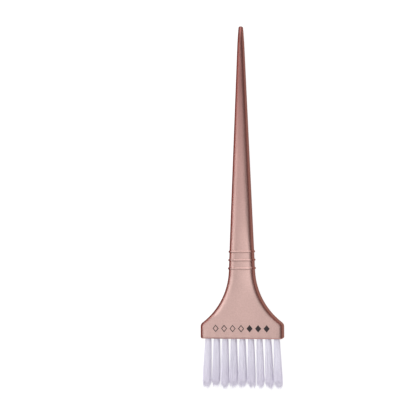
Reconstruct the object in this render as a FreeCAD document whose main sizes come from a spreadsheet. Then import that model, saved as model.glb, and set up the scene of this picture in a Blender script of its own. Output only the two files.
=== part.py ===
import FreeCAD, Part
import math
import os
import Sketcher

# A flat hair-tint brush, lying on its back.  X runs across the head, Y along
# the brush from the bristle ends (-Y) to the handle's tip (+Y), and Z up out of
# the front face.  The origin is under the middle of the whole brush, on the
# flat back.  Lengths are millimetres.

DRIVING_SIZES = [
    # the one-piece moulded handle
    ("head_width", 51.0),
    ("head_thickness", 9.2),
    ("handle_length", 192.5),
    ("neck_width", 15.15),
    ("neck_distance", 41.7),
    ("tip_width", 2.6),
    ("tip_thickness", 2.8),
    ("nose_thickness", 6.8),
    ("nose_length", 12.0),
    ("nose_rise", 1.7),
    ("flare_radius", 42.0),
    ("shoulder_radius", 3.1),
    ("edge_radius", 1.1),
    ("front_slope_distance", 58.0),
    ("front_blend_radius", 900.0),
    # the three raised grip rings on the neck
    ("ring_distance", 43.3),
    ("ring_pitch", 5.15),
    ("ring_width", 1.3),
    ("ring_height", 0.55),
    ("ring_round", 0.5),
    # the tuft holes
    ("tufts_per_row", 9),
    ("tuft_pitch", 5.35),
    ("row_spacing", 3.7),
    ("hole_diameter", 3.0),
    ("hole_depth", 11.0),
    # the filament tufts
    ("bristle_length", 29.5),
    ("tuft_clearance", 0.02),
    ("tuft_fan", 0.3),
    ("row_lean", 0.35),
    # the flat-wire anchors that hold the folded tufts
    ("anchor_length", 3.8),
    ("anchor_height", 1.6),
    ("anchor_thickness", 0.35),
    ("fold_thickness", 0.9),
]

# Outline of a tuft from the hole's mouth to the bristle ends:
# share of the free length, width along X, depth along Z.
TUFT_SECTIONS = [
    (0.3, 3.7, 3.3),
    (0.6, 4.6, 3.7),
    (0.88, 5.0, 3.9),
    (1.0, 3.8, 2.7),
]

RING_COUNT = 3
ROWS = [("front", 1), ("back", -1)]

# How far the raw slab and the rectangle that trims it reach past the outline.
SLAB_MARGIN = 1
TRIM_MARGIN = 5

doc = FreeCAD.newDocument("tint_brush")


# ---------------------------------------------------------------- the sheet

sheet = doc.addObject("Spreadsheet::Sheet", "sizes")
for number, (alias, value) in enumerate(DRIVING_SIZES, start=1):
    sheet.set(f"A{number}", alias)
    sheet.set(f"B{number}", str(value))
    sheet.setAlias(f"B{number}", alias)
doc.recompute()


def size(alias):
    """The value of one driving dimension."""
    return float(sheet.get(alias))


def bind(feature, path, formula):
    """Tie a property of a feature to a formula over the sheet's aliases."""
    aliases = [alias for alias, _ in DRIVING_SIZES]
    words = [f"sizes.{word}" if word in aliases else word for word in formula.split()]
    feature.setExpression(path, " ".join(words))


# Formulas for places along Y.
BRISTLE_EDGE = "( bristle_length - handle_length ) / 2"
HANDLE_TIP = "( bristle_length + handle_length ) / 2"
MIDDLE_HEIGHT = "head_thickness / 2"

bristle_edge = (size("bristle_length") - size("handle_length")) / 2
handle_tip = (size("bristle_length") + size("handle_length")) / 2
middle_height = size("head_thickness") / 2


# ------------------------------------------------------------- small helpers

def vector(x, y, z=0.0):
    return FreeCAD.Vector(x, y, z)


def line(start, end):
    return Part.LineSegment(vector(*start), vector(*end))


def arc(centre, radius, first_angle, last_angle):
    circle = Part.Circle(vector(*centre), vector(0, 0, 1), radius)
    return Part.ArcOfCircle(circle, first_angle, last_angle)


def new_sketch(body, name, plane, offset_formula=None):
    """An empty sketch on one of the body's origin planes."""
    sketch = body.newObject("Sketcher::SketchObject", name)
    for feature in body.Origin.OriginFeatures:
        if feature.Role == plane:
            sketch.AttachmentSupport = [(feature, "")]
    sketch.MapMode = "FlatFace"
    if offset_formula:
        bind(sketch, ".AttachmentOffset.Base.z", offset_formula)
    return sketch


def constrain(sketch, kind, *values):
    return sketch.addConstraint(Sketcher.Constraint(kind, *values))


def dimension(sketch, kind, name, formula, *values):
    """Add a named dimension and tie it to the sheet."""
    index = constrain(sketch, kind, *values)
    sketch.renameConstraint(index, name)
    bind(sketch, f"Constraints.{name}", formula)


def chain(sketch, joints):
    """Join the ends of sketch elements, with or without tangency."""
    for kind, first, first_end, second, second_end in joints:
        constrain(sketch, kind, first, first_end, second, second_end)


START = 1
END = 2
CENTRE = 3
ORIGIN = (-1, 1)
HORIZONTAL_AXIS = -1
VERTICAL_AXIS = -2


# ---------------------------------------------------- handle: plan outline

def outline_geometry():
    """The plan outline, from the bristle edge round to the tip and back."""
    half_head = size("head_width") / 2
    half_neck = size("neck_width") / 2
    half_tip = size("tip_width") / 2
    flare = size("flare_radius")
    shoulder = size("shoulder_radius")
    neck = bristle_edge + size("neck_distance")

    taper = math.atan2(half_neck - half_tip, handle_tip - neck)
    flare_x = half_neck + flare * math.cos(taper)
    flare_y = neck + flare * math.sin(taper)
    shoulder_x = half_head - shoulder
    reach = flare + shoulder
    shoulder_y = flare_y - math.sqrt(reach ** 2 - (flare_x - shoulder_x) ** 2)
    turn = math.atan2(flare_y - shoulder_y, flare_x - shoulder_x)

    right = [
        line((half_head, bristle_edge), (half_head, shoulder_y)),
        arc((shoulder_x, shoulder_y), shoulder, 0, turn),
        arc((flare_x, flare_y), flare, math.pi + taper, math.pi + turn),
        line((half_neck, neck), (half_tip, handle_tip)),
    ]
    left = [
        line((-half_tip, handle_tip), (-half_neck, neck)),
        arc((-flare_x, flare_y), flare, -turn, -taper),
        arc((-shoulder_x, shoulder_y), shoulder, math.pi - turn, math.pi),
        line((-half_head, shoulder_y), (-half_head, bristle_edge)),
    ]
    base = line((-half_head, bristle_edge), (half_head, bristle_edge))
    tip = line((half_tip, handle_tip), (-half_tip, handle_tip))
    return [base] + right + [tip] + left


def draw_outline(sketch):
    """Elements 0 to 9 of the sketch are the closed outline."""
    base, side_r, shoulder_r, flare_r, taper_r = 0, 1, 2, 3, 4
    tip, taper_l, flare_l, shoulder_l, side_l = 5, 6, 7, 8, 9
    sketch.addGeometry(outline_geometry(), False)
    chain(sketch, [
        ("Coincident", base, END, side_r, START),
        ("Tangent", side_r, END, shoulder_r, START),
        ("Tangent", shoulder_r, END, flare_r, END),
        ("Tangent", flare_r, START, taper_r, START),
        ("Coincident", taper_r, END, tip, START),
        ("Coincident", tip, END, taper_l, START),
        ("Tangent", taper_l, END, flare_l, END),
        ("Tangent", flare_l, START, shoulder_l, START),
        ("Tangent", shoulder_l, END, side_l, START),
        ("Coincident", side_l, END, base, START),
    ])
    constrain(sketch, "Vertical", side_r)
    constrain(sketch, "Vertical", side_l)
    constrain(sketch, "Symmetric", base, START, base, END, VERTICAL_AXIS)
    constrain(sketch, "Symmetric", tip, START, tip, END, VERTICAL_AXIS)
    constrain(sketch, "Symmetric", taper_r, START, taper_l, END, VERTICAL_AXIS)
    constrain(sketch, "Equal", flare_r, flare_l)
    constrain(sketch, "Equal", shoulder_r, shoulder_l)
    dimension(sketch, "Radius", "flare", "flare_radius", flare_r, size("flare_radius"))
    dimension(sketch, "Radius", "shoulder", "shoulder_radius",
              shoulder_r, size("shoulder_radius"))
    dimension(sketch, "DistanceX", "head", "head_width",
              base, START, base, END, size("head_width"))
    dimension(sketch, "DistanceX", "neck", "neck_width",
              taper_l, END, taper_r, START, size("neck_width"))
    dimension(sketch, "DistanceX", "tip", "tip_width",
              tip, END, tip, START, size("tip_width"))
    dimension(sketch, "DistanceY", "edge_place", "( handle_length - bristle_length ) / 2",
              base, START, *ORIGIN, -bristle_edge)
    dimension(sketch, "DistanceY", "neck_place", "neck_distance",
              base, END, taper_r, START, size("neck_distance"))
    dimension(sketch, "DistanceY", "tip_place", HANDLE_TIP,
              *ORIGIN, tip, START, handle_tip)


def draw_surround(sketch, margin):
    """A rectangle round the outline, so that a pocket leaves the outline."""
    right = size("head_width") / 2 + margin
    low = bristle_edge - margin
    high = handle_tip + margin
    corners = [(-right, low), (right, low), (right, high), (-right, high)]
    sides = [line(corners[i], corners[(i + 1) % 4]) for i in range(4)]
    first = sketch.GeometryCount
    sketch.addGeometry(sides, False)
    for i in range(4):
        constrain(sketch, "Coincident", first + i, END, first + (i + 1) % 4, START)
    for i in (1, 3):
        constrain(sketch, "Vertical", first + i)
    constrain(sketch, "Horizontal", first + 2)
    constrain(sketch, "Symmetric", first, START, first, END, VERTICAL_AXIS)
    dimension(sketch, "DistanceX", "surround_width", f"head_width + 2 * {margin}",
              first, START, first, END, 2 * right)
    dimension(sketch, "DistanceY", "surround_low",
              f"( handle_length - bristle_length ) / 2 + {margin}",
              first, START, *ORIGIN, -low)
    dimension(sketch, "DistanceY", "surround_high", f"{HANDLE_TIP} + {margin}",
              *ORIGIN, first + 2, START, high)


# ----------------------------------------------------- handle: side profile

def rise_radius(run, rise):
    """Radius of an arc that starts level and climbs by rise over a run."""
    return (run ** 2 + rise ** 2) / (2 * rise)


def draw_side_profile(sketch):
    """Flat back, a front that slopes towards the tip, and a rounded nose."""
    thick = size("head_thickness")
    blend = size("front_blend_radius")
    slope_start = bristle_edge + size("front_slope_distance")
    nose_start = handle_tip - size("nose_length")
    nose_thick = size("nose_thickness")
    tip_low = size("nose_rise")
    tip_high = tip_low + size("tip_thickness")

    # The blend arc starts level with the head and turns until it points at the
    # front of the nose.
    run = nose_start - slope_start
    drop = thick - nose_thick
    to_centre = math.hypot(run, blend - drop)
    slope = math.atan2(run, blend - drop) - math.acos(blend / to_centre)
    blend_end = (slope_start + blend * math.sin(slope),
                 thick - blend * (1 - math.cos(slope)))

    # The front of the nose leaves the slope without a corner.
    chord = math.hypot(handle_tip - nose_start, nose_thick - tip_high)
    chord_angle = math.atan2(nose_thick - tip_high, handle_tip - nose_start)
    front_nose = chord / (2 * math.sin(chord_angle - slope))
    front_centre = (nose_start - front_nose * math.sin(slope),
                    nose_thick - front_nose * math.cos(slope))
    front_end_angle = math.pi / 2 - (2 * chord_angle - slope)
    back_nose = rise_radius(size("nose_length"), tip_low)
    back_end_angle = math.asin(size("nose_length") / back_nose) - math.pi / 2

    back, under, tip, over, front_slope, blend_arc, front, edge = range(8)
    sketch.addGeometry([
        line((bristle_edge, 0), (nose_start, 0)),
        arc((nose_start, back_nose), back_nose, -math.pi / 2, back_end_angle),
        line((handle_tip, tip_low), (handle_tip, tip_high)),
        arc(front_centre, front_nose, front_end_angle, math.pi / 2 - slope),
        line((nose_start, nose_thick), blend_end),
        arc((slope_start, thick - blend), blend, math.pi / 2 - slope, math.pi / 2),
        line((slope_start, thick), (bristle_edge, thick)),
        line((bristle_edge, thick), (bristle_edge, 0)),
    ], False)
    chain(sketch, [
        ("Tangent", back, END, under, START),
        ("Coincident", under, END, tip, START),
        ("Coincident", tip, END, over, START),
        ("Tangent", over, END, front_slope, START),
        ("Tangent", front_slope, END, blend_arc, START),
        ("Tangent", blend_arc, END, front, START),
        ("Coincident", front, END, edge, START),
        ("Coincident", edge, END, back, START),
    ])
    constrain(sketch, "PointOnObject", back, START, HORIZONTAL_AXIS)
    constrain(sketch, "Horizontal", back)
    constrain(sketch, "Horizontal", front)
    constrain(sketch, "Vertical", tip)
    constrain(sketch, "Vertical", edge)
    dimension(sketch, "DistanceX", "edge_place", "( handle_length - bristle_length ) / 2",
              back, START, *ORIGIN, -bristle_edge)
    dimension(sketch, "DistanceX", "tip_place", HANDLE_TIP,
              *ORIGIN, tip, START, handle_tip)
    dimension(sketch, "DistanceY", "head_height", "head_thickness",
              edge, END, edge, START, thick)
    dimension(sketch, "DistanceX", "slope_place", "front_slope_distance",
              front, END, front, START, size("front_slope_distance"))
    dimension(sketch, "Radius", "blend", "front_blend_radius", blend_arc, blend)
    dimension(sketch, "DistanceX", "back_nose_run", "nose_length",
              under, START, under, END, size("nose_length"))
    dimension(sketch, "DistanceX", "front_nose_run", "nose_length",
              over, END, over, START, size("nose_length"))
    dimension(sketch, "DistanceY", "nose_height", "nose_thickness",
              back, END, over, END, nose_thick)
    dimension(sketch, "DistanceY", "tip_low", "nose_rise",
              *ORIGIN, tip, START, tip_low)
    dimension(sketch, "DistanceY", "tip_height", "tip_thickness",
              tip, START, tip, END, tip_high - tip_low)


# -------------------------------------------------------- handle: grip rings

def neck_width_formula(distance):
    """Width of the tapering handle at a distance from the bristle edge."""
    return (f"neck_width - ( {distance} - neck_distance )"
            " * ( neck_width - tip_width ) / ( handle_length - neck_distance )")


def neck_width_at(distance):
    taper = (size("neck_width") - size("tip_width")) / (
        size("handle_length") - size("neck_distance"))
    return size("neck_width") - (distance - size("neck_distance")) * taper


def draw_ring_section(sketch, width, width_formula):
    """The neck's section grown by the ring's height, cut off at the back."""
    thick = size("head_thickness")
    edge = size("edge_radius")
    height = size("ring_height")
    radius = edge + height
    centre_x = width / 2 - edge
    side = width / 2 + height
    foot_angle = math.asin(edge / radius)
    foot_x = centre_x + radius * math.cos(foot_angle)
    top = thick + height
    quarter = math.pi / 2

    foot, low_r, side_r, high_r, front, high_l, side_l, low_l = range(8)
    sketch.addGeometry([
        line((-foot_x, 0), (foot_x, 0)),
        arc((centre_x, edge), radius, -foot_angle, 0),
        line((side, edge), (side, thick - edge)),
        arc((centre_x, thick - edge), radius, 0, quarter),
        line((centre_x, top), (-centre_x, top)),
        arc((-centre_x, thick - edge), radius, quarter, 2 * quarter),
        line((-side, thick - edge), (-side, edge)),
        arc((-centre_x, edge), radius, 2 * quarter, 2 * quarter + foot_angle),
    ], False)
    chain(sketch, [
        ("Coincident", foot, END, low_r, START),
        ("Tangent", low_r, END, side_r, START),
        ("Tangent", side_r, END, high_r, START),
        ("Tangent", high_r, END, front, START),
        ("Tangent", front, END, high_l, START),
        ("Tangent", high_l, END, side_l, START),
        ("Tangent", side_l, END, low_l, START),
        ("Coincident", low_l, END, foot, START),
    ])
    constrain(sketch, "PointOnObject", foot, START, HORIZONTAL_AXIS)
    constrain(sketch, "Symmetric", foot, START, foot, END, VERTICAL_AXIS)
    constrain(sketch, "Symmetric", front, START, front, END, VERTICAL_AXIS)
    constrain(sketch, "Vertical", side_r)
    constrain(sketch, "Vertical", side_l)
    for corner in (high_r, high_l, low_l):
        constrain(sketch, "Equal", low_r, corner)
    dimension(sketch, "Radius", "corner", "edge_radius + ring_height", low_r, radius)
    dimension(sketch, "DistanceX", "full_width", f"{width_formula} + 2 * ring_height",
              side_l, START, side_r, END, 2 * side)
    dimension(sketch, "DistanceY", "top_height", "head_thickness + ring_height",
              *ORIGIN, front, START, top)
    dimension(sketch, "DistanceY", "foot_height", "edge_radius",
              *ORIGIN, low_r, CENTRE, edge)


# ------------------------------------------------------------ handle: checks

def volume_change(feature, before, grows):
    """Stop if a feature that has to add or cut material does neither."""
    doc.recompute()
    change = feature.Shape.Volume - before
    if grows != (change > 0) or abs(change) < 1e-3:
        raise RuntimeError(f"{feature.Name} changed the volume by {change:.3f}")
    print(f"{feature.Label}: {change:+.1f} mm3")
    return feature.Shape.Volume


def edge_names(shape, wanted):
    """Names of the edges whose middle point and direction suit a test."""
    names = []
    for number, edge in enumerate(shape.Edges, start=1):
        if edge.Degenerated:
            continue
        middle_value = (edge.FirstParameter + edge.LastParameter) / 2
        middle = edge.valueAt(middle_value)
        direction = edge.tangentAt(middle_value)
        if wanted(middle, direction):
            names.append(f"Edge{number}")
    return names


# ------------------------------------------------------------------- handle

def is_rounded_edge(middle, direction):
    """Every outer edge of the blank, but none between tangent faces."""
    along_x = abs(direction.x) > 0.999
    upright = abs(direction.z) > 0.999
    at_end = min(abs(middle.y - bristle_edge), abs(middle.y - handle_tip)) < 0.01
    if upright or along_x:
        return at_end
    return True


def is_ring_edge(middle, direction):
    """The front edges of the rings, one for each side of each ring."""
    ring_top = size("head_thickness") + size("ring_height")
    return abs(middle.z - ring_top) < 0.01 and abs(direction.x) > 0.999


def build_handle():
    body = doc.addObject("PartDesign::Body", "handle")
    body.Label = "handle"

    profile = new_sketch(body, "side_profile", "YZ_Plane")
    draw_side_profile(profile)
    slab = body.newObject("PartDesign::Pad", "slab")
    slab.Profile = profile
    slab.SideType = "Symmetric"
    bind(slab, "Length", f"head_width + 2 * {SLAB_MARGIN}")
    volume = volume_change(slab, 0, True)

    outline = new_sketch(body, "outline", "XY_Plane")
    draw_outline(outline)
    draw_surround(outline, TRIM_MARGIN)
    blank = body.newObject("PartDesign::Pocket", "blank")
    blank.Profile = outline
    blank.Type = "ThroughAll"
    blank.Reversed = True
    volume = volume_change(blank, volume, False)

    rounded = body.newObject("PartDesign::Fillet", "rounded")
    rounded.Base = (blank, edge_names(blank.Shape, is_rounded_edge))
    bind(rounded, "Radius", "edge_radius")
    volume = volume_change(rounded, volume, False)

    for number in range(RING_COUNT):
        distance_formula = f"ring_distance + {number} * ring_pitch"
        distance = size("ring_distance") + number * size("ring_pitch")
        section = new_sketch(body, f"ring_section_{number + 1}", "XZ_Plane",
                             f"( handle_length - bristle_length ) / 2 - ( {distance_formula} )")
        draw_ring_section(section, neck_width_at(distance),
                          neck_width_formula(f"( {distance_formula} )"))
        ring = body.newObject("PartDesign::Pad", f"ring_{number + 1}")
        ring.Profile = section
        ring.SideType = "Symmetric"
        bind(ring, "Length", "ring_width")
        volume = volume_change(ring, volume, True)

    beads = body.newObject("PartDesign::Fillet", "ring_beads")
    beads.Base = (ring, edge_names(ring.Shape, is_ring_edge))
    bind(beads, "Radius", "ring_round")
    volume = volume_change(beads, volume, False)

    first_x = "( tufts_per_row - 1 ) / 2 * tuft_pitch"
    holes_sketch = new_sketch(body, "hole_circles", "XZ_Plane",
                              "( handle_length - bristle_length ) / 2")
    draw_hole_circles(holes_sketch, first_x)
    holes = body.newObject("PartDesign::Pocket", "first_holes")
    holes.Profile = holes_sketch
    bind(holes, "Length", "hole_depth")
    volume = volume_change(holes, volume, False)

    slots_sketch = new_sketch(
        body, "slot_outlines", "XZ_Plane",
        "( handle_length - bristle_length ) / 2 - hole_depth + fold_thickness + anchor_height")
    draw_slot_outlines(slots_sketch, first_x)
    slots = body.newObject("PartDesign::Pocket", "first_slots")
    slots.Profile = slots_sketch
    bind(slots, "Length", "anchor_height")
    volume = volume_change(slots, volume, False)

    pattern = body.newObject("PartDesign::LinearPattern", "tuft_holes")
    pattern.Originals = [holes, slots]
    pattern.Direction = (holes_sketch, ["H_Axis"])
    bind(pattern, "Length", "( tufts_per_row - 1 ) * tuft_pitch")
    bind(pattern, "Occurrences", "tufts_per_row")
    body.Tip = pattern
    volume_change(pattern, volume, False)
    return body


def draw_hole_circles(sketch, first_x):
    """One hole for each row, in the column furthest to -X."""
    x = -(size("tufts_per_row") - 1) / 2 * size("tuft_pitch")
    for number, (row, sign) in enumerate(ROWS):
        z = middle_height + sign * size("row_spacing") / 2
        circle = Part.Circle(vector(x, z), vector(0, 0, 1), size("hole_diameter") / 2)
        sketch.addGeometry(circle, False)
        dimension(sketch, "Diameter", f"{row}_hole", "hole_diameter",
                  number, size("hole_diameter"))
        dimension(sketch, "DistanceX", f"{row}_column", first_x,
                  number, CENTRE, *ORIGIN, -x)
        dimension(sketch, "DistanceY", f"{row}_height",
                  f"{MIDDLE_HEIGHT} + {sign} * row_spacing / 2",
                  *ORIGIN, number, CENTRE, z)


def draw_slot_outlines(sketch, first_x):
    """The slots that the anchors' ends bite into the walls of the holes."""
    x = -(size("tufts_per_row") - 1) / 2 * size("tuft_pitch")
    half_x = size("anchor_length") / 2
    half_z = size("anchor_thickness") / 2
    for number, (row, sign) in enumerate(ROWS):
        z = middle_height + sign * size("row_spacing") / 2
        corners = [(x - half_x, z - half_z), (x + half_x, z - half_z),
                   (x + half_x, z + half_z), (x - half_x, z + half_z)]
        first = 4 * number
        sketch.addGeometry([line(corners[i], corners[(i + 1) % 4]) for i in range(4)], False)
        for i in range(4):
            constrain(sketch, "Coincident", first + i, END, first + (i + 1) % 4, START)
        for i in (0, 2):
            constrain(sketch, "Horizontal", first + i)
        for i in (1, 3):
            constrain(sketch, "Vertical", first + i)
        dimension(sketch, "DistanceX", f"{row}_length", "anchor_length",
                  first, START, first, END, 2 * half_x)
        dimension(sketch, "DistanceY", f"{row}_thickness", "anchor_thickness",
                  first + 1, START, first + 1, END, 2 * half_z)
        dimension(sketch, "DistanceX", f"{row}_column", f"{first_x} + anchor_length / 2",
                  first, START, *ORIGIN, half_x - x)
        dimension(sketch, "DistanceY", f"{row}_height",
                  f"{MIDDLE_HEIGHT} + {sign} * row_spacing / 2 - anchor_thickness / 2",
                  *ORIGIN, first, START, z - half_z)


# -------------------------------------------------------- anchors and tufts

ANCHOR_START = f"{BRISTLE_EDGE} + hole_depth - fold_thickness - anchor_height"
ACROSS_BRUSH = FreeCAD.Rotation(FreeCAD.Vector(1, 0, 0), 90)


def column_x(column):
    """Formula for the X of a column of tufts, counted from 0 at -X."""
    return f"( {column} - ( tufts_per_row - 1 ) / 2 ) * tuft_pitch"


def row_z(sign):
    """Formula for the height of a row's hole axes."""
    return f"{MIDDLE_HEIGHT} + {sign} * row_spacing / 2"


def anchor_block(name, column, sign):
    """A flat-wire anchor, or the window that it leaves in its tuft."""
    block = doc.addObject("Part::Box", name)
    bind(block, "Length", "anchor_length")
    bind(block, "Width", "anchor_height")
    bind(block, "Height", "anchor_thickness")
    bind(block, ".Placement.Base.x", f"{column_x(column)} - anchor_length / 2")
    bind(block, ".Placement.Base.y", ANCHOR_START)
    bind(block, ".Placement.Base.z", f"{row_z(sign)} - anchor_thickness / 2")
    return block


def build_anchor(row, sign, column):
    anchor = anchor_block(f"anchor_{row}_{column + 1}", column, sign)
    anchor.Label = anchor.Name
    return anchor


def tuft_section(name, share, width, depth, column, sign):
    """One closed curve across a tuft, at a share of its free length."""
    section = doc.addObject("Part::Ellipse", name)
    section.Placement.Rotation = ACROSS_BRUSH
    bind(section, "MajorRadius", f"{width} / 2")
    bind(section, "MinorRadius", f"{depth} / 2")
    fan = f"( {column} - ( tufts_per_row - 1 ) / 2 ) * tuft_fan"
    bind(section, ".Placement.Base.x", f"{column_x(column)} + {share} * {fan}")
    bind(section, ".Placement.Base.y", f"{BRISTLE_EDGE} - {share} * bristle_length")
    bind(section, ".Placement.Base.z", f"{row_z(sign)} + {share} * {sign} * row_lean")
    return section


def build_tuft(row, sign, column):
    """A folded bundle of filaments: a round root in its hole and a free brush."""
    name = f"tuft_{row}_{column + 1}"
    root_diameter = "( hole_diameter - 2 * tuft_clearance )"

    root = doc.addObject("Part::Cylinder", f"{name}_root")
    root.Placement.Rotation = ACROSS_BRUSH
    bind(root, "Radius", f"{root_diameter} / 2")
    bind(root, "Height", "hole_depth")
    bind(root, ".Placement.Base.x", column_x(column))
    bind(root, ".Placement.Base.y", f"{BRISTLE_EDGE} + hole_depth")
    bind(root, ".Placement.Base.z", row_z(sign))

    sections = [tuft_section(f"{name}_mouth", 0, root_diameter, root_diameter, column, sign)]
    for number, (share, width, depth) in enumerate(TUFT_SECTIONS, start=1):
        sections.append(tuft_section(f"{name}_section_{number}", share,
                                     width, depth, column, sign))
    free_part = doc.addObject("Part::Loft", f"{name}_free")
    free_part.Sections = sections
    free_part.Solid = True

    bundle = doc.addObject("Part::Fuse", f"{name}_bundle")
    bundle.Base = root
    bundle.Tool = free_part

    tuft = doc.addObject("Part::Cut", name)
    tuft.Base = bundle
    tuft.Tool = anchor_block(f"{name}_window", column, sign)
    tuft.Label = name
    return tuft


# -------------------------------------------------------------- the assembly

parts = [build_handle()]
for row, sign in ROWS:
    for column in range(int(size("tufts_per_row"))):
        parts.append(build_tuft(row, sign, column))
        parts.append(build_anchor(row, sign, column))
doc.recompute()

for item in doc.Objects:
    if "Invalid" in item.State or "Error" in item.State:
        raise RuntimeError(f"{item.Name} failed: {item.State}")
for part in parts:
    shape = part.Shape
    if shape.isNull() or not shape.isValid() or len(shape.Solids) != 1:
        raise RuntimeError(f"{part.Label} is not one valid solid")

os.makedirs("parts", exist_ok=True)
for part in parts:
    part.Shape.exportStep(f"parts/{part.Label}.step")
    box = part.Shape.optimalBoundingBox()
    print(f"{part.Label}: {part.Shape.Volume:.1f} mm3,"
          f" x {box.XMin:.2f}..{box.XMax:.2f},"
          f" y {box.YMin:.2f}..{box.YMax:.2f}, z {box.ZMin:.2f}..{box.ZMax:.2f}")
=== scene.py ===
import math

import bmesh
import bpy
import numpy as np
from mathutils import Matrix, Vector


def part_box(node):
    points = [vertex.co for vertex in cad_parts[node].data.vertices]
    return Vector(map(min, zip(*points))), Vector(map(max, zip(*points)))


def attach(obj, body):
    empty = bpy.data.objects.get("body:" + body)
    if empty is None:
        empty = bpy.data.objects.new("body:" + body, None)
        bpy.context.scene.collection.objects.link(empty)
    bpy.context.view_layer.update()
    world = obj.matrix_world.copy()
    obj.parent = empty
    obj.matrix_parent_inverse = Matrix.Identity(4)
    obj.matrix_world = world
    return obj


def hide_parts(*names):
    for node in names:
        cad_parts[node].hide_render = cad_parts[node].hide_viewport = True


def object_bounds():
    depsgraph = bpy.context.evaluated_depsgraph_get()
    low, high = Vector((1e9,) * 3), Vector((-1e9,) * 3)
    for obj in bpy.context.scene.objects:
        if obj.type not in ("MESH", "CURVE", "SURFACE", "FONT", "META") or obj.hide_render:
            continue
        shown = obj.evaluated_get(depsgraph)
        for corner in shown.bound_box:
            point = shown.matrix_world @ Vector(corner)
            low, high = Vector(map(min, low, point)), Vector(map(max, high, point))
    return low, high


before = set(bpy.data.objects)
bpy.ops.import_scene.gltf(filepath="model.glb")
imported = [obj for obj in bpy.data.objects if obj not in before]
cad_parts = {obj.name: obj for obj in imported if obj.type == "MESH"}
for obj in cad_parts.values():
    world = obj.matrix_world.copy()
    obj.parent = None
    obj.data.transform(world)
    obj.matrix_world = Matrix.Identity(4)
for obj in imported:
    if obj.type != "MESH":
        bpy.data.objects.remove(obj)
cad_box = [list(corner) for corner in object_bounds()]

# The brush lies on its flat back: X across the head, Y towards the handle's
# tip, Z out of the front face.  Everything is in metres.
MM = 0.001
ROWS = {"front": 1, "back": -1}      # which way each row of tufts leans, up or down
COLUMNS = range(1, 10)
MIDDLE_COLUMN = 5

# Places taken from the frame.
handle_low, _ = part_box("handle")
bristle_edge = handle_low.y
whole_low, whole_high = (Vector(corner) for corner in cad_box)
TUFT_PITCH = (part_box("anchor_front_2")[0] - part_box("anchor_front_1")[0]).x

# The two rows of tufts lie evenly about the middle of the head's thickness.
tuft_middle = (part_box("anchor_front_1")[0].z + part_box("anchor_back_1")[1].z) / 2
front_face_height = 2 * tuft_middle


# ------------------------------------------------------------- node helpers

class Nodes:
    """A small wrapper that adds linked shader nodes to one material or world."""

    def __init__(self, owner):
        self.owner = owner
        self.owner.use_nodes = True
        self.tree = owner.node_tree

    def add(self, kind, **settings):
        node = self.tree.nodes.new(kind)
        for key, value in settings.items():
            setattr(node, key, value)
        return node

    def feed(self, socket, value):
        """Give an input either another node's output or a constant."""
        if isinstance(value, bpy.types.NodeSocket):
            self.tree.links.new(value, socket)
        else:
            socket.default_value = value

    def math(self, operation, first, second=None, clamp=False):
        node = self.add("ShaderNodeMath", operation=operation, use_clamp=clamp)
        self.feed(node.inputs[0], first)
        if second is not None:
            self.feed(node.inputs[1], second)
        return node.outputs[0]

    def times(self, first, second):
        return self.math("MULTIPLY", first, second)

    def ramp(self, value, low, high, to_low=0.0, to_high=1.0, kind="SMOOTHSTEP"):
        """Change of a value between two limits, smooth unless the kind says otherwise."""
        node = self.add("ShaderNodeMapRange", interpolation_type=kind)
        for name, content in (("Value", value), ("From Min", low), ("From Max", high),
                              ("To Min", to_low), ("To Max", to_high)):
            self.feed(node.inputs[name], content)
        return node.outputs["Result"]

    def place(self):
        """The point on the piece that is being shaded."""
        return self.add("ShaderNodeTexCoord").outputs["Object"]

    def noise(self, vector, scale, detail=2.0, roughness=0.5):
        node = self.add("ShaderNodeTexNoise")
        for name, content in (("Vector", vector), ("Scale", scale), ("Detail", detail),
                              ("Roughness", roughness)):
            self.feed(node.inputs[name], content)
        return node.outputs["Fac"]

    def stretched(self, vector, scales):
        node = self.add("ShaderNodeMapping")
        self.feed(node.inputs["Vector"], vector)
        self.feed(node.inputs["Scale"], scales)
        return node.outputs["Vector"]

    def mix(self, factor, first, second, blend="MIX"):
        """A colour between two others, or both combined."""
        node = self.add("ShaderNodeMix", data_type="RGBA", blend_type=blend)
        self.feed(node.inputs[0], factor)
        for socket, colour in zip(node.inputs[6:8], (first, second)):
            self.feed(socket, colour if isinstance(colour, bpy.types.NodeSocket) else (*colour, 1))
        return node.outputs[2]

    def blend(self, factor, first, second):
        """A number between two others."""
        node = self.add("ShaderNodeMix", data_type="FLOAT")
        for socket, value in zip(node.inputs[0:1] + node.inputs[2:4], (factor, first, second)):
            self.feed(socket, value)
        return node.outputs[0]

    def parts(self, vector):
        """The three parts of a vector."""
        node = self.add("ShaderNodeSeparateXYZ")
        self.feed(node.inputs[0], vector)
        return node.outputs

    def direction(self, x, y, z):
        """Unit vector with these three parts."""
        joined = self.add("ShaderNodeCombineXYZ")
        for socket, value in zip(joined.inputs, (x, y, z)):
            self.feed(socket, value)
        unit = self.add("ShaderNodeVectorMath", operation="NORMALIZE")
        self.feed(unit.inputs[0], joined.outputs[0])
        return unit.outputs[0]

    def grey(self, level):
        """A colour with all three parts at one level."""
        node = self.add("ShaderNodeCombineColor")
        for socket in node.inputs:
            self.feed(socket, level)
        return node.outputs[0]

    def bevel(self, radius, samples):
        """Surface normal with its edges rounded to a radius."""
        node = self.add("ShaderNodeBevel", samples=samples)
        self.feed(node.inputs["Radius"], radius)
        return node.outputs["Normal"]

    def bump(self, height, strength, distance, normal=None):
        """Surface normal with a relief added to it."""
        node = self.add("ShaderNodeBump")
        for name, content in (("Height", height), ("Strength", strength),
                              ("Distance", distance)):
            self.feed(node.inputs[name], content)
        if normal is not None:
            self.feed(node.inputs["Normal"], normal)
        return node.outputs[0]

    def finish(self, **values):
        """Set the material's shader inputs and return the material."""
        shader = self.tree.nodes["Principled BSDF"]
        for key, value in values.items():
            self.feed(shader.inputs[key.replace("_", " ")], value)
        return self.owner


def material_nodes(name):
    """Nodes of a new material."""
    return Nodes(bpy.data.materials.new(name))


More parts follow.
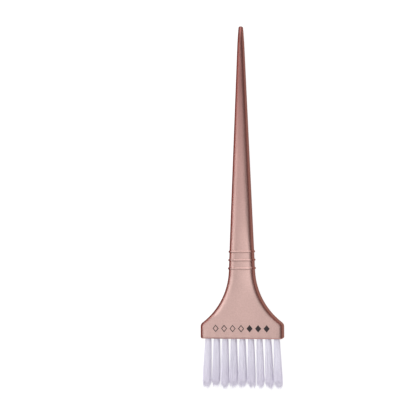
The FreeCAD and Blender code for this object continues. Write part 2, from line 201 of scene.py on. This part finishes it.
# Levels of a noise texture: where most of it lies, and nearly all of it.
NOISE_MIDDLE = (0.3, 0.7)
NOISE_MOST = (0.2, 0.8)


def add_to_scene(name, data):
    """A new object in the scene, with this mesh, light or camera."""
    thing = bpy.data.objects.new(name, data)
    bpy.context.scene.collection.objects.link(thing)
    return thing


# ------------------------------------------------- material: rose gold handle

FACE_ROSE = (0.462, 0.313, 0.287)       # flat faces, at the head
TIP_SHADE_ROSE = (0.227, 0.107, 0.097)        # painted shade: the flat faces at the handle's tip, darkened
SIDE_SHADE_ROSE = (0.375, 0.22, 0.19)         # painted shade on the side walls
DEEP_SHADE_ROSE = (0.2, 0.077, 0.066)         # painted shade on the rounded edges
LEFT_RIM_SHADE_ROSE = (0.16, 0.038, 0.03)     # painted shade on the front face's left edge, the darkest
END_SHADE_ROSE = (0.46, 0.22, 0.185)          # painted shade on the face that the bristles leave
EDGE_REFLECTION_SHADE = (0.42, 0.21, 0.18)       # painted shade in the reflections of edges and walls, seen at a low angle
WHITE = (1, 1, 1)

# How far each rounding of the edges reaches, and how finely it is sampled.
LEFT_HEAD_EDGE = 4.8 * MM
RIGHT_HEAD_EDGE = 2.9 * MM
STEM_EDGE = 5.0 * MM
OVER_HOLES_EDGE = 1.1 * MM
RIM_EDGE = 2.1 * MM
CRISP_EDGE = 0.3 * MM
SOFT_SAMPLES = 8
CRISP_SAMPLES = 4

# Stretches of the handle over which something changes, measured from the bristle edge.
END_FACE = (2 * MM, 3 * MM)
FLARE_START = (4 * MM, 7 * MM)
FLARE_END = (37 * MM, 41 * MM)
HOLES_END = (12 * MM, 16 * MM)
STEM_START = (48 * MM, 85 * MM)
WIDE_RIM_END = (40 * MM, 50 * MM)
DISH_START = (22 * MM, 42 * MM)
SINK_FADE = (1 * MM, 9 * MM)

# Other stretches, in the frame's own X and Y.
TIP_NARROWING = (20 * MM, 90 * MM)
# Painted shade along the flat faces, from the head to the tip.
TIP_SHADE_FADE = (-45 * MM, 80 * MM)
MIDLINE = (-1 * MM, 1 * MM)
BESIDE_HOLES = (22.9 * MM, 23.9 * MM)

# Parts of the surface normal between which one colour turns into the next, where painted shade
# darkens the walls, edges and end face.
FACE_TO_WALL = (0.08, 0.26)             # tilt away from the flat face
FACE_TO_TINT = (0.15, 0.5)
WALL_TO_RIM = (0.1, 0.5)                # upward part
LOWER_EDGE = (-0.4, -0.05)              # upward part, below the walls
BACK_TO_EDGE = (-0.97, -0.85)           # upward part, next to the flat back
TURN_TO_END = (0.3, 0.8)                # part along the brush

LEFT_RIM_SHADE_WIDENING = (2.8, 1.7)          # widening of the painted shade on the left rim: on the head, and on the stem
TIP_SHARE = 0.5                         # of the soft edge that is left at the tip
DISH_CURVE = 4.0                        # the dish's height is this times X squared, in 1/m
SINK_DEPTH = 0.012 * MM
GRAIN_DEPTH = 0.012 * MM
GRAIN_SCALE = 3800.0
GRAIN_STRENGTH = 0.35
PATCH_SCALES = (45, 28, 45)
PATCH_TONES = (0.95, 1.04)
FLAKE_SCALE = 1100.0
FLAKE_TONES = (-0.06, 0.06)
ROSE_ROUGHNESS = (0.3, 0.42)


def along_handle(n, y, stretch, to_low=0.0, to_high=1.0):
    """A change over a stretch of the handle measured from the bristle edge."""
    start, end = stretch
    return n.ramp(y, bristle_edge + start, bristle_edge + end, to_low, to_high)


def rose_edges(n, x, y):
    """Rounded normal, tilt of the rims, and the crisp normal's along and upward parts."""
    # The face rolls off softly towards its long edges, more so along the stem.
    # Over the tuft holes the softening stays thinner than the wall above them.
    past_holes = along_handle(n, y, HOLES_END)
    beside_holes = n.ramp(n.math("ABSOLUTE", x), *BESIDE_HOLES)
    free_of_holes = n.math("MAXIMUM", past_holes, beside_holes)
    most = n.ramp(free_of_holes, 0, 1, OVER_HOLES_EDGE, STEM_EDGE)
    on_head = n.ramp(x, *MIDLINE, LEFT_HEAD_EDGE, RIGHT_HEAD_EDGE)
    reach = n.blend(along_handle(n, y, STEM_START), on_head, STEM_EDGE)
    reach = n.times(reach, n.ramp(y, *TIP_NARROWING, 1.0, TIP_SHARE))
    soft_x, soft_y, soft_z = n.parts(n.bevel(n.math("MINIMUM", reach, most), SOFT_SAMPLES))

    # Along the handle the edges stay crisp except on the flare, so that the
    # rings keep their lines.
    _, crisp_y, crisp_z = n.parts(n.bevel(CRISP_EDGE, CRISP_SAMPLES))
    flare = n.times(along_handle(n, y, FLARE_START), along_handle(n, y, FLARE_END, 1.0, 0.0))
    rounded = n.direction(soft_x, n.blend(flare, crisp_y, soft_y),
                          n.math("MINIMUM", soft_z, crisp_z))

    # The rims follow the long edges and the flare, and painted shade darkens them.  They are wider
    # on the left, which these lights would otherwise leave paler than the photograph's dark left
    # edge.
    rim_x, rim_y, _ = n.parts(n.bevel(RIM_EDGE, CRISP_SAMPLES))
    tilt = n.math("SQRT", n.math("ADD", n.times(rim_x, rim_x),
                                 n.times(flare, n.times(rim_y, rim_y))))
    widening = along_handle(n, y, WIDE_RIM_END, *LEFT_RIM_SHADE_WIDENING)
    left_share = n.math("SUBTRACT", 1.0, n.ramp(x, *MIDLINE))
    tilt = n.times(tilt, n.math("MAXIMUM", 1.0, n.times(widening, left_share)))
    return rounded, tilt, crisp_y, crisp_z


def rose_colour(n, x, y, tilt, crisp_y, crisp_z):
    """Pale faces with painted shade: darker towards the tip, and deep on the walls, rims, lower
    edges and end face.
    """
    # Painted shade: the faces darken from the head towards the tip.
    face = n.mix(n.ramp(y, *TIP_SHADE_FADE, kind="LINEAR"), FACE_ROSE, TIP_SHADE_ROSE)
    # Painted shade: walls and rims darker than the faces, the left rim darkest.
    rim = n.mix(n.ramp(x, *MIDLINE), LEFT_RIM_SHADE_ROSE, DEEP_SHADE_ROSE)
    wall = n.mix(n.ramp(crisp_z, *WALL_TO_RIM), SIDE_SHADE_ROSE, rim)
    colour = n.mix(n.ramp(tilt, *FACE_TO_WALL), face, wall)
    # Painted shade on the lower rounded edge next to the flat back.
    lower_edge_shade = n.times(n.ramp(crisp_z, *LOWER_EDGE, 1.0, 0.0), n.ramp(crisp_z, *BACK_TO_EDGE))
    colour = n.mix(lower_edge_shade, colour, DEEP_SHADE_ROSE)
    # Painted shade on the rounded edge that faces the bristles.
    at_end = along_handle(n, y, END_FACE, 1.0, 0.0)
    facing_end = n.ramp(n.math("ABSOLUTE", crisp_y), *TURN_TO_END)
    return n.mix(n.times(at_end, facing_end), colour, END_SHADE_ROSE)


def rose_relief(n, place, x, y, normal):
    """A shallow dish along the stem, faint sink marks over the holes, and fine grain."""
    dish = n.times(n.times(x, x), along_handle(n, y, DISH_START, 0.0, DISH_CURVE))
    normal = n.bump(dish, 1.0, 1.0, normal)
    wave = n.math("COSINE", n.times(x, 2 * math.pi / TUFT_PITCH))
    marks = n.times(wave, along_handle(n, y, SINK_FADE, 1.0, 0.0))
    normal = n.bump(marks, 1.0, SINK_DEPTH, normal)
    grain = n.noise(place, GRAIN_SCALE, 3.0, 0.6)
    return n.bump(grain, GRAIN_STRENGTH, GRAIN_DEPTH, normal)


def rose_gold():
    """Satin metallic plastic, pale on the flat faces, with painted shade in deep rose round the
    edges.
    """
    n = material_nodes("rose_gold_plastic")
    place = n.place()
    x, y, _ = n.parts(place)
    rounded, tilt, crisp_y, crisp_z = rose_edges(n, x, y)
    colour = rose_colour(n, x, y, tilt, crisp_y, crisp_z)

    patches = n.noise(n.stretched(place, PATCH_SCALES), 1.0, 3.0, 0.55)
    flakes = n.noise(place, FLAKE_SCALE, 3.0, 0.7)
    tone = n.math("ADD", n.ramp(patches, *NOISE_MIDDLE, *PATCH_TONES),
                  n.ramp(flakes, *NOISE_MIDDLE, *FLAKE_TONES))
    return n.finish(
        Base_Color=n.mix(1.0, colour, n.grey(tone), "MULTIPLY"),
        Metallic=0.93,
        Roughness=n.ramp(flakes, *NOISE_MOST, *ROSE_ROUGHNESS),
        # Painted shade: reflections on the edges and walls are tinted deep rose.
        Specular_Tint=n.mix(n.ramp(tilt, *FACE_TO_TINT), WHITE, EDGE_REFLECTION_SHADE),
        Normal=rose_relief(n, place, x, y, rounded),
    )


# ------------------------------------------------ material: nylon filaments

FILAMENT_PALE = (0.68, 0.66, 0.73)
FILAMENT_DEEP = (0.605, 0.56, 0.665)
FILAMENT_GLOW = 0.15        # stands in for light passed on by neighbouring filaments
DEPTH_ALONG = 0.42          # how much deeper the colour gets towards the ends
DEPTH_BY_STRAND = 0.2       # how much it differs from filament to filament
STREAK_SCALES = (2600, 90, 2600)
STREAK_DEPTHS = (-0.08, 0.08)


def nylon():
    """Pale lavender filaments, each a little different, deeper towards the ends."""
    n = material_nodes("nylon_filament")
    place = n.place()
    _, y, _ = n.parts(place)
    strand = n.add("ShaderNodeAttribute", attribute_name="strand").outputs["Fac"]
    along = n.ramp(y, whole_low.y + 3 * MM, bristle_edge - 10 * MM, 1.0, 0.0)
    streak = n.noise(n.stretched(place, STREAK_SCALES), 1.0)
    depth = n.math("ADD", n.times(along, DEPTH_ALONG), n.times(strand, DEPTH_BY_STRAND))
    streaks = n.ramp(streak, *NOISE_MIDDLE, *STREAK_DEPTHS)
    depth = n.math("ADD", depth, streaks, clamp=True)
    colour = n.mix(depth, FILAMENT_PALE, FILAMENT_DEEP)
    return n.finish(
        Base_Color=colour,
        Emission_Color=colour,
        Emission_Strength=FILAMENT_GLOW,
        Roughness=n.ramp(streak, *NOISE_MOST, 0.38, 0.55),
        IOR=1.53,
        Subsurface_Weight=0.04,
        Subsurface_Scale=0.4 * MM,
        Subsurface_Radius=(1.0, 0.95, 1.0),
        Sheen_Weight=0.15,
        Sheen_Roughness=0.5,
    )


# ---------------------------------------------------- material: anchor wire

WIRE_DARK = (0.62, 0.45, 0.2)
WIRE_BRIGHT = (0.75, 0.6, 0.32)
LINE_SCALES = (300, 9000, 9000)
LINE_DEPTH = 0.004 * MM


def anchor_wire():
    """Flat-rolled brass wire with drawing lines along its length."""
    n = material_nodes("anchor_wire")
    lines = n.noise(n.stretched(n.place(), LINE_SCALES), 1.0)
    return n.finish(
        Base_Color=n.mix(n.ramp(lines, *NOISE_MIDDLE), WIRE_DARK, WIRE_BRIGHT),
        Metallic=1.0,
        Roughness=n.ramp(lines, *NOISE_MOST, 0.25, 0.45),
        Normal=n.bump(lines, 0.3, LINE_DEPTH),
    )


# ------------------------------------------------------ material: printed ink

INK_BLACK = (0.016, 0.012, 0.014)
INK_WORN = (0.06, 0.045, 0.048)
INK_SCALE = 2400.0


def printed_ink():
    """Matt black pad-printing ink, a little uneven."""
    n = material_nodes("printed_ink")
    cover = n.noise(n.place(), INK_SCALE, 3.0, 0.6)
    return n.finish(
        Base_Color=n.mix(n.ramp(cover, 0.35, 0.7), INK_BLACK, INK_WORN),
        Roughness=n.ramp(cover, *NOISE_MIDDLE, 0.38, 0.55),
        Specular_IOR_Level=0.25,
    )


# ------------------------------------------------------------- filament tufts

FILAMENTS_PER_TUFT = 125         # each is folded in two, so it has two free ends
FILAMENT_RADIUS = 0.08 * MM
RADIUS_RANGE = (0.88, 1.1)       # thinnest and thickest filament, as shares of that
TIP_TAPER = 0.8                  # thickness left at a filament's end
FILAMENT_SIDES = 5
FLOOR_CLEARANCE = 0.12 * MM
GOLDEN_ANGLE = math.pi * (3 - math.sqrt(5))
FOLD_GAP = 0.02                  # share of the hole's radius kept free where a tuft folds

# A tuft's shape: half its width and depth in the hole and near its ends.
ROOT_RADIUS = 1.36 * MM
END_WIDTH = 2.42 * MM
END_DEPTH = 1.85 * MM
MOUTH_SPREAD = 0.18 * MM         # how much a tuft relaxes just outside its hole,
MOUTH_LENGTH = 0.06              # over this share of its length
SWELLING = 0.85                  # below 1, a tuft widens sooner along its length
FAN_PER_COLUMN = 0.24 * MM
FAN_VARIATION = 0.08 * MM
ROW_LEAN = 0.25 * MM

# A leg's length, as shares of the tuft's free length: filaments at the tuft's outside
# are the shortest, and so are those far from the point that they gather into.
STATIONS = (0.0, 0.05, 0.15, 0.28, 0.46, 0.64, 0.8, 0.95, 1.0)
OUTSIDE_LENGTH = 0.925
MIDDLE_EXTRA = 0.07
OFF_POINT_LOSS = 0.06
LEG_VARIATION = 0.008
POINT_VARIATION = 0.017

# How a filament is folded round its anchor.
FOLD_DEPTH = 0.3 * MM
FOLD_VARIATION = 0.45 * MM
FOLD_ANGLES = np.radians([0, 30, 60, 90])

# Seeds: each tuft has its own, and front and back tufts share their gathering points.
POINT_SEED = 500
TUFT_SEED = 1000
ROW_SEEDS = {"front": 7, "back": 11}

# The points that a tuft's end gathers into, and how filaments stray from them.
CLUMPS_ACROSS = 6
CLUMP_SHIFT = 0.1
CLUMP_HEIGHTS = (0.3, 0.8)
CLUMP_OUTERMOST = 0.9            # keeps the outer points a little off the middle line
GATHERING = 0.82
GATHER_FROM = 0.84
SPLAY = 0.10 * MM
SPLAY_GROWTH = 1.4               # above 1, filaments part mostly near their ends
STRAY_SHARE = 0.07
STRAY_SPLAY = 0.55 * MM
BOW = 0.10 * MM
BOW_WAVES = (0.8, 1.3)           # half waves in the length of the tuft

# Fine hairs that a filament's end splits into.
HAIRY_SHARE = 0.5
FLAGS_PER_END = 2
FLAG_SIDES = 3
FLAG_STATIONS = (0.0, 0.5, 1.0)
FLAG_REACH = (1.2, 2.7)          # in lengths of the leg's last section
FLAG_SPREAD = 0.16 * MM
WILD_SHARE = 0.06
WILD_SPREAD = 3
FLAG_THICKNESS = 0.42            # shares of the filament's radius: at the start,
FLAG_TAPER = 0.27                # and what is lost by the end
PALE_TIP = -2.0                  # strand value that makes hairs paler than any filament


def smooth(value, low, high):
    """0 below the low limit, 1 above the high one, and a soft step between."""
    part = np.clip((value - low) / (high - low), 0, 1)
    return part * part * (3 - 2 * part)


def tubes(paths, radii, sides):
    """Closed tubes round many paths: paths (count, stations, 3), radii (count, stations)."""
    count, stations, _ = paths.shape
    ahead = np.gradient(paths, axis=1)
    ahead /= np.linalg.norm(ahead, axis=2, keepdims=True)
    across = np.cross(ahead, np.array([1.0, 0.0, 0.0]))
    across /= np.linalg.norm(across, axis=2, keepdims=True)
    over = np.cross(ahead, across)
    turns = np.arange(sides) * 2 * math.pi / sides
    ring = (across[:, :, None, :] * np.cos(turns)[None, None, :, None]
            + over[:, :, None, :] * np.sin(turns)[None, None, :, None])
    points = paths[:, :, None, :] + ring * radii[:, :, None, None]

    start = np.arange(count)[:, None, None] * stations * sides
    step = np.arange(stations - 1)[None, :, None] * sides
    side = np.arange(sides)[None, None, :]
    after = (side + 1) % sides
    quads = np.stack(np.broadcast_arrays(
        start + step + side, start + step + after,
        start + step + sides + after, start + step + sides + side), axis=-1)
    quads = quads.reshape(-1, 4)
    first_caps = (start[:, 0, 0, None] + np.arange(sides)[None, ::-1])
    last_caps = (start[:, 0, 0, None] + (stations - 1) * sides + np.arange(sides)[None, :])
    faces = quads.tolist() + first_caps.tolist() + last_caps.tolist()
    return points.reshape(-1, 3), faces


def half_disc(count, rng):
    """Evenly packed places in the upper half of a disc of radius 1."""
    whole = np.arange(4 * count)
    radius = np.sqrt((whole + 0.5) / (2 * count))
    angle = whole * GOLDEN_ANGLE + rng.uniform(0, 2 * math.pi)
    places = np.stack([radius * np.cos(angle), radius * np.sin(angle)], axis=1)
    places = places[(places[:, 1] > FOLD_GAP) & (radius < 1)]
    return places[:count]


def tuft_points(column):
    """Where a tuft's filaments gather into points across its width, and how long each is."""
    rng = np.random.default_rng(POINT_SEED + column)
    across = (np.arange(CLUMPS_ACROSS) + 0.5) * 2 / CLUMPS_ACROSS - 1
    across += rng.uniform(-CLUMP_SHIFT, CLUMP_SHIFT, CLUMPS_ACROSS)
    return across, rng.normal(0, POINT_VARIATION, CLUMPS_ACROSS)


def nearest_points(places, across, rng):
    """For each filament: its gathering point, that point's number, and how far off it is."""
    room = np.sqrt(1 - np.minimum(across ** 2, CLUMP_OUTERMOST))
    height = rng.uniform(*CLUMP_HEIGHTS, CLUMPS_ACROSS) * room
    clumps = np.stack([across, height * np.sign(places[0, 1])], axis=1)
    gap = np.linalg.norm(places[:, None, :] - clumps[None, :, :], axis=2)
    nearest = gap.argmin(axis=1)
    return clumps[nearest], nearest, gap.min(axis=1)


def free_leg(places, hole, ends, fan, lean, points, rng):
    """Paths of one leg of each filament, from the hole's mouth to its end."""
    count = len(places)
    across, clump_length = points
    clump, nearest, to_clump = nearest_points(places, across, rng)
    radius = np.linalg.norm(places, axis=1)
    length = OUTSIDE_LENGTH + MIDDLE_EXTRA * (1 - radius ** 3)
    length -= OFF_POINT_LOSS * np.clip(to_clump, 0, 1)
    length += rng.normal(0, LEG_VARIATION, count) + clump_length[nearest]
    splay = rng.normal(0, SPLAY, (count, 2))
    stray = rng.random(count) < STRAY_SHARE
    splay[stray] += rng.normal(0, STRAY_SPLAY, (stray.sum(), 2))
    bow = rng.normal(0, BOW, (count, 2))
    half_waves = rng.uniform(*BOW_WAVES, count)

    paths = np.empty((count, len(STATIONS), 3))
    for index, station in enumerate(STATIONS):
        share = station * length
        mouth = MOUTH_SPREAD * smooth(share, 0, MOUTH_LENGTH)
        gather = (GATHERING * smooth(share, GATHER_FROM, 1.0))[:, None]
        spot = places * (1 - gather) + clump * gather
        wave = np.sin(math.pi * share * half_waves)
        paths[:, index, 1] = bristle_edge - share * (bristle_edge - ends)
        for part, axis, start, drift, end_half in ((0, 0, hole.x, fan, END_WIDTH),
                                                   (1, 2, hole.z, lean, END_DEPTH)):
            swell = (end_half - ROOT_RADIUS - MOUTH_SPREAD) * share ** SWELLING
            half = ROOT_RADIUS + mouth + swell
            paths[:, index, axis] = (start + drift * share + spot[:, part] * half
                                     + splay[:, part] * share ** SPLAY_GROWTH
                                     + bow[:, part] * wave)
    paths[:, :, 2] = np.maximum(paths[:, :, 2], FLOOR_CLEARANCE + FILAMENT_RADIUS)
    return paths


def folded_root(places, hole, anchor_low, anchor_high):
    """The stretch of each filament inside its hole, round the anchor's deep edge."""
    count = len(places)
    clear = (anchor_high.z - anchor_low.z) / 2 + FILAMENT_RADIUS
    height = clear + places[:, 1] * (ROOT_RADIUS - clear)
    depth = FOLD_DEPTH + FOLD_VARIATION * places[:, 1]
    root = np.empty((count, len(FOLD_ANGLES), 3))
    for index, angle in enumerate(FOLD_ANGLES):
        root[:, index, 0] = hole.x + places[:, 0] * ROOT_RADIUS
        root[:, index, 1] = anchor_high.y + depth * math.cos(angle)
        root[:, index, 2] = height * math.sin(angle)
    return root


def end_flags(legs, rng):
    """Fine split ends: a share of the filaments open into thin tapering hairs."""
    legs = legs[rng.random(len(legs)) < HAIRY_SHARE]
    starts = np.repeat(legs[:, -2], FLAGS_PER_END, axis=0)
    ahead = np.repeat(legs[:, -1] - legs[:, -2], FLAGS_PER_END, axis=0)
    count = len(starts)
    reach = rng.uniform(*FLAG_REACH, count)
    open_out = rng.normal(0, FLAG_SPREAD, (count, 3))
    open_out[:, 1] = 0
    wild = rng.random(count) < WILD_SHARE
    open_out[wild] *= WILD_SPREAD
    paths = np.empty((count, len(FLAG_STATIONS), 3))
    for index, share in enumerate(FLAG_STATIONS):
        paths[:, index] = starts + ahead * (reach * share)[:, None] + open_out * share
    paths[:, :, 2] = np.maximum(paths[:, :, 2], FLOOR_CLEARANCE)
    radii = FILAMENT_RADIUS * (FLAG_THICKNESS - FLAG_TAPER * np.array(FLAG_STATIONS))
    return paths, np.broadcast_to(radii, (count, len(FLAG_STATIONS)))


def build_tuft(row, column, material):
    """One tuft: folded filaments, their free legs and their split ends."""
    rng = np.random.default_rng(TUFT_SEED * column + ROW_SEEDS[row])
    anchor_low, anchor_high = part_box(f"anchor_{row}_{column}")
    tuft_low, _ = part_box(f"tuft_{row}_{column}")
    hole = (anchor_low + anchor_high) / 2
    fan = FAN_PER_COLUMN * (column - MIDDLE_COLUMN) + rng.normal(0, FAN_VARIATION)
    lean = ROW_LEAN * ROWS[row]
    places = half_disc(FILAMENTS_PER_TUFT, rng)
    mirrored = places * np.array([1, -1])
    points = tuft_points(column)
    upper = free_leg(places, hole, tuft_low.y, fan, lean, points, rng)
    lower = free_leg(mirrored, hole, tuft_low.y, fan, lean, points, rng)

    root = folded_root(places, hole, anchor_low, anchor_high)
    root_upper = root + np.array([0, 0, hole.z])
    root_lower = root * np.array([1, 1, -1]) + np.array([0, 0, hole.z])
    whole = np.concatenate([upper[:, ::-1], root_upper[:, :0:-1], root_lower, lower], axis=1)
    stations = whole.shape[1]
    from_end = np.minimum(np.arange(stations), np.arange(stations)[::-1])
    radii = FILAMENT_RADIUS * (TIP_TAPER + (1 - TIP_TAPER) * smooth(from_end, 0, 1))
    radii = radii[None, :] * rng.uniform(*RADIUS_RANGE, len(whole))[:, None]
    vertices, faces = tubes(whole, radii, FILAMENT_SIDES)
    filament_faces = len(faces)
    tone = np.repeat(rng.random(len(whole)), stations * FILAMENT_SIDES)

    for legs in (upper, lower):
        flags, flag_radii = end_flags(legs, rng)
        more_vertices, more_faces = tubes(flags, flag_radii, FLAG_SIDES)
        offset = len(vertices)
        vertices = np.concatenate([vertices, more_vertices])
        faces += [[index + offset for index in face] for face in more_faces]
        flag_tone = np.full(len(more_vertices), PALE_TIP)
        tone = np.concatenate([tone, flag_tone])

    mesh = bpy.data.meshes.new(f"bristles_{row}_{column}")
    mesh.from_pydata(vertices.tolist(), [], faces)
    mesh.attributes.new("strand", "FLOAT", "POINT").data.foreach_set("value", tone)
    mesh.polygons.foreach_set("use_smooth", np.arange(len(faces)) < filament_faces)
    mesh.materials.append(material)
    mesh.update()
    tuft = add_to_scene(f"bristles_{row}_{column}", mesh)
    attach(tuft, "root")
    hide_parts(f"tuft_{row}_{column}")
    return tuft


# ----------------------------------------------------- printed ornament

PRINT_THICKNESS = 0.02 * MM
PRINT_SINK = 0.005 * MM
PRINT_FROM_EDGE = 6.4 * MM
DIAMOND_PITCH = 5.3 * MM
DIAMOND_HALF_WIDTH = 1.9 * MM
DIAMOND_HALF_HEIGHT = 2.3 * MM
HOLE_SHARE = 0.68
DIAMOND_HOLES = (HOLE_SHARE,) * 4 + (0.0,) * 3      # four open diamonds, then three filled


def diamond(x, y, share):
    """Corners of an upright diamond, at a share of the ornament's full size."""
    half_width = DIAMOND_HALF_WIDTH * share
    half_height = DIAMOND_HALF_HEIGHT * share
    return [(x - half_width, y), (x, y - half_height), (x + half_width, y), (x, y + half_height)]


def add_wall(mesh, bottom, top):
    """Faces between two closed rows of corners."""
    for i in range(len(bottom)):
        j = (i + 1) % len(bottom)
        mesh.faces.new((bottom[i], bottom[j], top[j], top[i]))


def diamond_plate(mesh, x, y, hole, low, high):
    """A closed plate of ink shaped as a diamond, with or without a hole."""
    outer_low = [mesh.verts.new((px, py, low)) for px, py in diamond(x, y, 1.0)]
    outer_high = [mesh.verts.new((px, py, high)) for px, py in diamond(x, y, 1.0)]
    add_wall(mesh, outer_low, outer_high)
    if hole == 0:
        mesh.faces.new(outer_low[::-1])
        mesh.faces.new(outer_high)
        return
    inner_low = [mesh.verts.new((px, py, low)) for px, py in diamond(x, y, hole)]
    inner_high = [mesh.verts.new((px, py, high)) for px, py in diamond(x, y, hole)]
    add_wall(mesh, inner_high, inner_low)
    add_wall(mesh, outer_high, inner_high)
    add_wall(mesh, inner_low, outer_low)


def build_print(material):
    """A plain ornament: a row of open and filled diamonds."""
    mesh = bmesh.new()
    low = front_face_height - PRINT_SINK
    high = front_face_height + PRINT_THICKNESS
    middle = (len(DIAMOND_HOLES) - 1) / 2
    for index, hole in enumerate(DIAMOND_HOLES):
        x = (index - middle) * DIAMOND_PITCH
        diamond_plate(mesh, x, bristle_edge + PRINT_FROM_EDGE, hole, low, high)
    data = bpy.data.meshes.new("printed_ornament")
    mesh.to_mesh(data)
    mesh.free()
    data.materials.append(material)
    ornament = add_to_scene("printed_ornament", data)
    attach(ornament, "root")


# ------------------------------------------------------------------ assembly

def dress(piece, material):
    """Give a CAD piece its one material."""
    piece.data.materials.clear()
    piece.data.materials.append(material)


dress(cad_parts["handle"], rose_gold())

wire_material = anchor_wire()
bristle_material = nylon()
tufts = []
for row in ROWS:
    for column in COLUMNS:
        dress(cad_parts[f"anchor_{row}_{column}"], wire_material)
        tufts.append(build_tuft(row, column, bristle_material))
build_print(printed_ink())


# -------------------------------------------------------------------- floor

FLOOR_SIZE = 4.0
FLOOR_GAP = 0.05 * MM
FLOOR_GLOW = 0.95


def light_table():
    """Plain white, glowing evenly."""
    n = material_nodes("light_table")
    fibre = n.noise(n.place(), 900.0, 3.0)
    return n.finish(
        Base_Color=n.mix(fibre, (0.13, 0.13, 0.13), (0.16, 0.16, 0.16)),
        Roughness=0.9,
        Emission_Color=n.mix(fibre, (0.97, 0.97, 0.97), WHITE),
        Emission_Strength=FLOOR_GLOW,
    )


def build_floor():
    """A plain pale light table, so that little shadow is left under the brush."""
    mesh = bmesh.new()
    bmesh.ops.create_grid(mesh, x_segments=1, y_segments=1, size=FLOOR_SIZE / 2)
    data = bpy.data.meshes.new("floor")
    mesh.to_mesh(data)
    mesh.free()
    data.materials.append(light_table())
    floor = add_to_scene("floor", data)
    floor.location.z = whole_low.z - FLOOR_GAP


# ------------------------------------------------------------------- lights

def area_light(name, place, target, size, power):
    """A white rectangular soft box, turned towards its target."""
    data = bpy.data.lights.new(name, "AREA")
    data.shape = "RECTANGLE"
    data.size, data.size_y = size
    data.energy = power
    light = add_to_scene(name, data)
    light.location = place
    light.rotation_euler = (target - Vector(place)).to_track_quat("-Z", "Y").to_euler()
    return light


def shine_only_on(light, pieces):
    """Flag a light off from everything but these pieces."""
    lit = bpy.data.collections.new(f"lit_by_{light.name}")
    for piece in pieces:
        lit.objects.link(piece)
    light.light_linking.receiver_collection = lit


def build_lights():
    """Soft boxes at the tip, the bristles and the left, and one near the camera."""
    middle = (whole_low + whole_high) / 2
    left_box = area_light("left_box", (-0.85, 0.1, 1.25), middle, (0.7, 1.2), 6.0)
    shine_only_on(left_box, [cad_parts["handle"]])
    area_light("tip_box", (0.0, 1.25, 0.9), middle, (1.6, 1.0), 15.0)
    area_light("bristle_box", (0.0, -1.35, 0.9), middle, (1.4, 0.9), 4.5)

    bristles = Vector((0, bristle_edge, middle.z))
    above = bristles + Vector((0.28, -0.1, 1.3))
    front_box = area_light("front_box", above, bristles, (0.5, 0.5), 3.7)
    shine_only_on(front_box, tufts)


WORLD_STRENGTH = 1.93

# Brightness by the sine of the height, from the horizon (0) to straight up (1).
HEIGHT_STOPS = ((0.0, 0.5), (0.3, 0.42), (0.55, 0.3), (0.72, 0.55), (0.88, 0.62), (1.0, 0.42))


def build_world():
    """A studio surround, brightest high up, dimmer there to the right and over the bristles."""
    n = Nodes(bpy.data.worlds.new("studio"))
    x, y, z = n.parts(n.add("ShaderNodeTexCoord").outputs["Generated"])
    by_height = n.add("ShaderNodeValToRGB")
    n.feed(by_height.inputs["Fac"], z)
    points = by_height.color_ramp.elements
    while len(points) < len(HEIGHT_STOPS):
        points.new(0.5)
    for point, (height, level) in zip(points, HEIGHT_STOPS):
        point.position = height
        point.color = (level, level, level, 1)

    over_bristles = n.ramp(y, -0.5, -0.05, 0.65, 1.0)
    to_right = n.ramp(x, -0.1, 0.3, 1.0, 0.33)
    high_up = n.ramp(z, 0.25, 0.6)
    dimming = n.blend(high_up, 1.0, n.times(over_bristles, to_right))
    level = n.times(dimming, n.times(by_height.outputs["Color"], WORLD_STRENGTH))
    background = n.tree.nodes["Background"]
    n.feed(background.inputs["Color"], (*WHITE, 1))
    n.feed(background.inputs["Strength"], level)
    bpy.context.scene.world = n.owner


# ------------------------------------------------------------------- camera

VIEW_TURN = math.radians(11.6)      # the camera stands a little towards +X
VIEW_ROLL = math.radians(-0.38)
LENS = 150.0
SENSOR = 36.0
FRAME_WIDTH = 246.6 * MM            # width of the view at the brush
AIM_ACROSS = -25.6 * MM             # sideways in the view, so the brush stands right of centre
AIM_ALONG = 3.85 * MM
AIM_HEIGHT = 4.6 * MM


def build_camera():
    """A long lens nearly square to the front face, as in the photograph."""
    data = bpy.data.cameras.new("camera")
    data.lens = LENS
    data.sensor_width = SENSOR
    data.clip_start = 0.05
    data.clip_end = 20.0
    camera = add_to_scene("camera", data)
    towards = Vector((math.sin(VIEW_TURN), 0, math.cos(VIEW_TURN)))
    level = Vector((math.cos(VIEW_TURN), 0, -math.sin(VIEW_TURN)))
    along = Vector((0, 1, 0))
    right = level * math.cos(VIEW_ROLL) + along * math.sin(VIEW_ROLL)
    up = along * math.cos(VIEW_ROLL) - level * math.sin(VIEW_ROLL)
    aim = Vector((0, AIM_ALONG, AIM_HEIGHT)) + right * AIM_ACROSS
    distance = FRAME_WIDTH * LENS / SENSOR
    turned = Matrix((right, up, towards)).transposed().to_4x4()
    camera.matrix_world = Matrix.Translation(aim + towards * distance) @ turned
    bpy.context.scene.camera = camera


build_floor()
build_world()
build_lights()
build_camera()
bpy.context.scene.view_settings.view_transform = "Standard"
